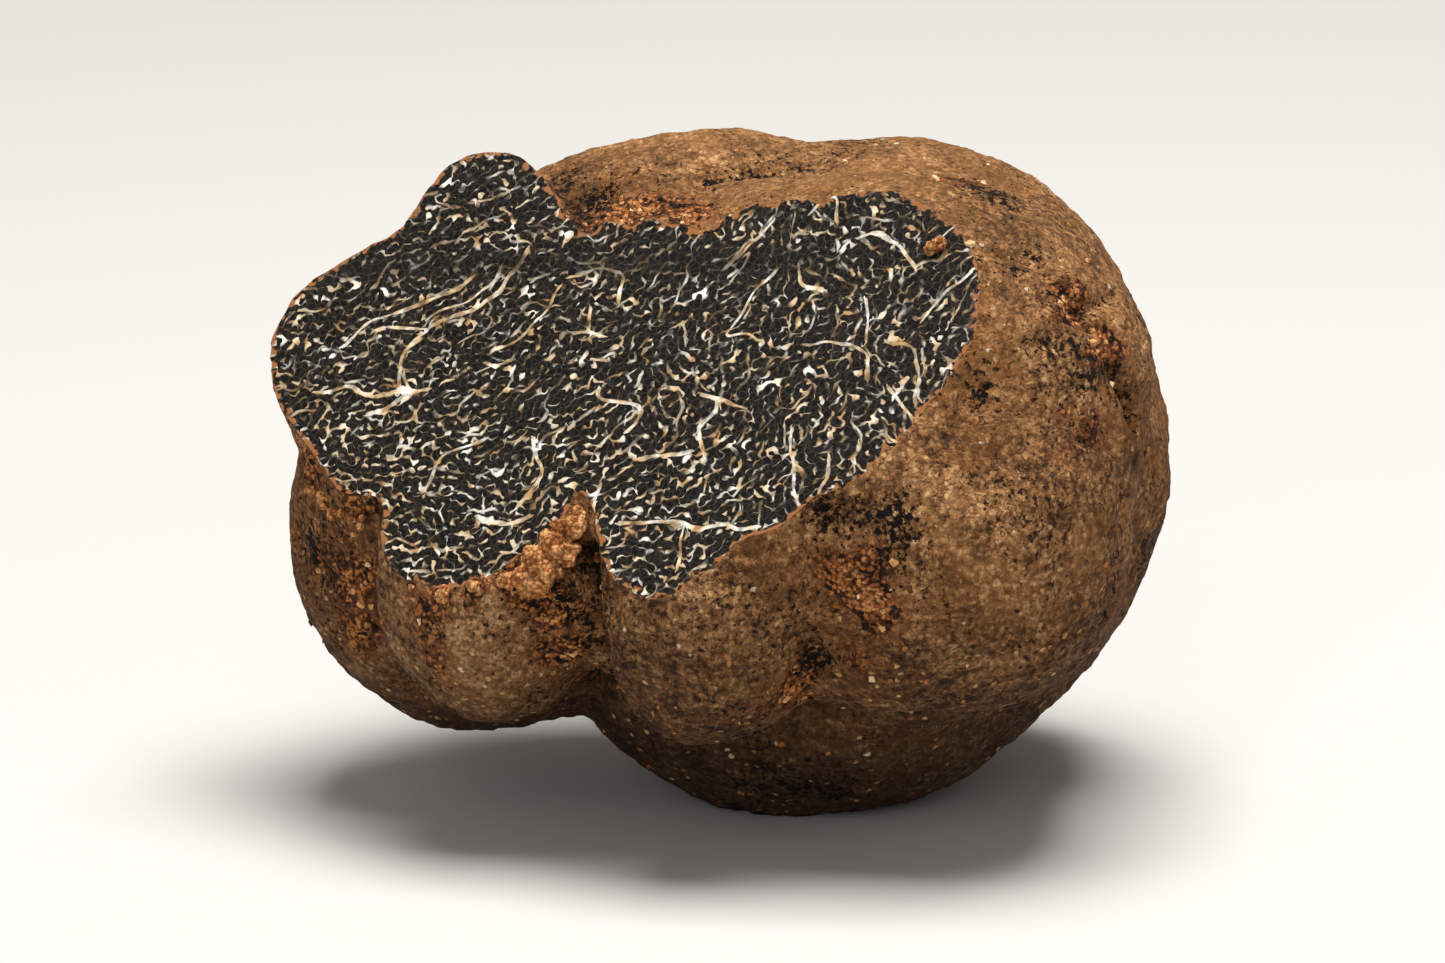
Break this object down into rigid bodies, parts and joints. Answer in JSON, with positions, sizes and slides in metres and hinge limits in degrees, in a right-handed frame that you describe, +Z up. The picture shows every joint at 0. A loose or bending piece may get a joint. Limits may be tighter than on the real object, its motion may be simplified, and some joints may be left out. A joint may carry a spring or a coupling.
{
  "type": "black truffle",
  "caption": "Lumpy black truffle with a slice cut off, its flat knife face showing the marbled flesh; it stands on a small flat spot",
  "frame": {"origin": "the middle of the bounding box, on the surface that the truffle stands on", "axes": "+Z up; +X along the truffle's length, to the right seen from the front; +Y away from the viewer, who faces the cut; the cut face looks forward (-Y), up and a little to the left (-X)"},
  "size_m": [0.0606, 0.0462, 0.0446],
  "materials": {
    "skin": "matte",
    "flesh": "satin",
    "soil": "matte"
  },
  "bodies": {
    "root": {"truffle": "skin"}
  },
  "joints": []
}
